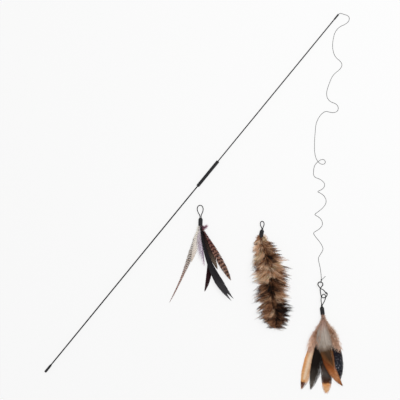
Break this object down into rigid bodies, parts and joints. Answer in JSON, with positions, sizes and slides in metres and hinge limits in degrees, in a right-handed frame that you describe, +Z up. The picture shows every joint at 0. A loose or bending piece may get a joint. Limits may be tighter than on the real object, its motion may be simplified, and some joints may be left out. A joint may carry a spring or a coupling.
{
  "type": "cat teaser wand",
  "caption": "Two-piece black cat teaser wand with a thin cord, a wire snap holding a feather plume, and spare feather lures lying beside it.",
  "frame": {"origin": "on the table, under the middle of the laid-out set without its cord", "axes": "+Z up from the table; +Y towards the top of the layout, the longest side; +X towards the cord and the hooked lure"},
  "size_m": [0.6109, 0.7636, 0.0306],
  "materials": {
    "black_vinyl": "soft dipped vinyl, satin",
    "rod": "black glass-fibre rod, satin",
    "cord": "thin braided cord",
    "snap_wire": "black plated spring wire",
    "loop_cord": "stiff braided loop",
    "crimp": "black shrink sleeve, glossy",
    "glue": "hardened glue",
    "dark_feather": "dark brown feather with an orange tip",
    "tan_feather": "tan feather with a dark tip",
    "slate_feather": "slate feather with pale specks",
    "black_feather": "black-brown feather",
    "rufous_feather": "rufous feather",
    "brown_down": "brown and pink down",
    "front_feather": "grey down with an olive-brown tip",
    "maroon_feather": "dark maroon feather",
    "grizzly_feather": "barred grizzly hackle",
    "satin_feather": "satin black feather",
    "pale_feather": "pale barred hackle",
    "barred_feather": "brown and cream barred feather",
    "lavender_down": "lavender down",
    "ash_feather": "ash-grey feather",
    "core_cord": "twisted core cord",
    "tail_fluff": "buff down with dark streaks"
  },
  "bodies": {
    "lower_wand": {"butt_cap": "black_vinyl", "lower_rod": "rod", "connector_sleeve": "black_vinyl"},
    "upper_wand": {"upper_rod": "rod", "tip_cap": "black_vinyl", "cord_anchor_knot": "cord", "cord": "cord", "eye_knot": "cord", "eye_noose": "cord", "cord_tag": "cord"},
    "snap": {"snap_frame": "snap_wire"},
    "gate": {"snap_gate": "snap_wire"},
    "plume_lure": {"plume_loop": "loop_cord", "plume_crimp": "crimp", "plume_glue": "glue", "plume_dark_feather": "dark_feather", "plume_tan_feather": "tan_feather", "plume_slate_feather": "slate_feather", "plume_black_feather": "black_feather", "plume_rufous_feather": "rufous_feather", "plume_left_down": "brown_down", "plume_right_down": "brown_down", "plume_front_feather": "front_feather"},
    "streamer_lure": {"streamer_loop": "loop_cord", "streamer_crimp": "crimp", "streamer_glue": "glue", "streamer_maroon_feather": "maroon_feather", "streamer_grizzly_feather": "grizzly_feather", "streamer_satin_feather": "satin_feather", "streamer_pale_feather": "pale_feather", "streamer_barred_feather": "barred_feather", "streamer_lavender_down": "lavender_down", "streamer_ash_feather": "ash_feather"},
    "tail_lure": {"tail_loop": "loop_cord", "tail_crimp": "crimp", "tail_glue": "glue", "tail_core": "core_cord", "tail_fluff": "tail_fluff"}
  },
  "joints": [
    {"name": "upper_rod_pull", "type": "slide", "parent": "lower_wand", "child": "upper_wand", "axis": [0.6341, 0.7733, 0], "range_m": [0, 0.034]},
    {"name": "snap_swivel", "type": "hinge", "parent": "upper_wand", "child": "snap", "pos_m": [0.2526, -0.1626, 0.0044], "axis": [0, 0, 1], "range_deg": [-8, 45]},
    {"name": "gate_swing", "type": "hinge", "parent": "snap", "child": "gate", "pos_m": [0.2526, -0.1626, 0.00655], "axis": [0, 0, 1], "range_deg": [0, 25], "stiffness_Nm_per_rad": 0.02},
    {"name": "plume_swing", "type": "hinge", "parent": "snap", "child": "plume_lure", "pos_m": [0.2591, -0.1871, 0.0044], "axis": [0, 0, 1], "range_deg": [-8, 30]},
    {"name": "streamer_lift", "type": "slide", "parent": "lower_wand", "child": "streamer_lure", "axis": [0, 0, 1], "range_m": [0, 0.15]},
    {"name": "tail_lift", "type": "slide", "parent": "lower_wand", "child": "tail_lure", "axis": [0, 0, 1], "range_m": [0, 0.15]}
  ]
}
